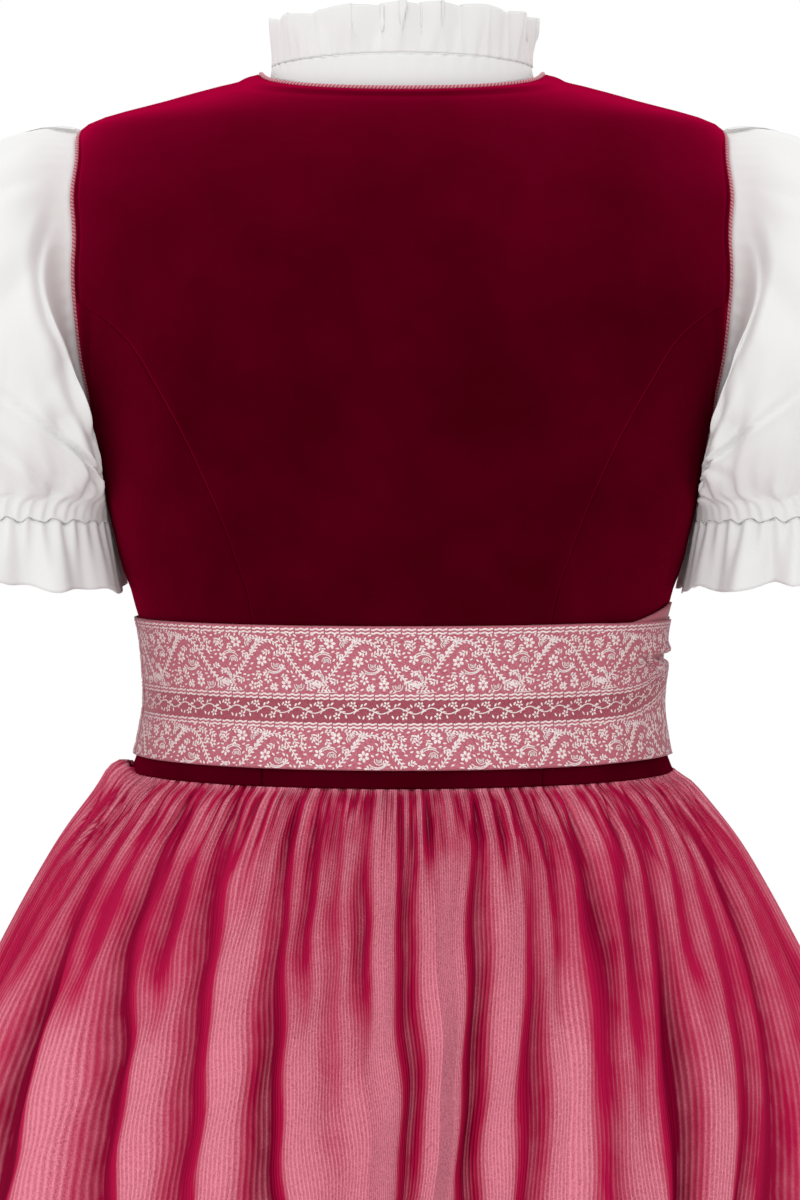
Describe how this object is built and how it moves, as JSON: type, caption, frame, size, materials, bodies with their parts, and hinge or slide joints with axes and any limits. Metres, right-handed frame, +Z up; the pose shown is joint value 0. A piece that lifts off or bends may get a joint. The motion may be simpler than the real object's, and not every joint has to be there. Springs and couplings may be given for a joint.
{
  "type": "dirndl set of velvet-bodice dress, apron and blouse",
  "caption": "Folk dress with a fitted velvet bodice, gathered satin skirt, apron tied by a wide patterned ribbon, and a puff-sleeved white blouse with a ruffled collar.",
  "frame": {"origin": "midway between the two points where the neckline meets the shoulder seams, where the wearer holds the garment up", "axes": "+Z up, the front faces -Y, the wearer's left is +X"},
  "size_m": [0.8, 0.6973, 1.1216],
  "materials": {
    "velvet": "dark red cotton velvet with a light rim sheen",
    "piping": "pink woven piping cord",
    "skirt_satin": "rose and red changeant satin with fine ribs",
    "apron_satin": "plain rose satin",
    "ribbon": "rose ribbon with an off-white woven pattern",
    "cotton": "white cotton",
    "button": "matt old-silver coloured metal"
  },
  "bodies": {
    "root": {"bodice_back": "velvet", "bodice_side_back_left": "velvet", "bodice_side_back_right": "velvet", "bodice_side_front_left": "velvet", "bodice_side_front_right": "velvet", "bodice_front_left": "velvet", "bodice_front_right": "velvet", "piping_neckline": "piping", "piping_armhole_left": "piping", "piping_armhole_right": "piping", "bodice_button_1": "button", "bodice_button_2": "button", "bodice_button_3": "button", "bodice_button_4": "button", "bodice_button_5": "button", "bodice_button_6": "button", "blouse_button_1": "button", "blouse_button_2": "button", "blouse_button_3": "button", "skirt_back": "skirt_satin", "skirt_front": "skirt_satin", "apron_panel": "apron_satin", "ribbon_back": "ribbon", "ribbon_under": "ribbon", "ribbon_front": "ribbon", "bow_knot": "ribbon", "bow_loop_left": "ribbon", "bow_loop_right": "ribbon", "bow_tail_left": "ribbon", "bow_tail_right": "ribbon", "blouse_back": "cotton", "blouse_front_left": "cotton", "blouse_front_right": "cotton", "collar_stand": "cotton", "collar_ruffle": "cotton", "sleeve_left": "cotton", "sleeve_right": "cotton", "sleeve_ruffle_left": "cotton", "sleeve_ruffle_right": "cotton"}
  },
  "joints": []
}
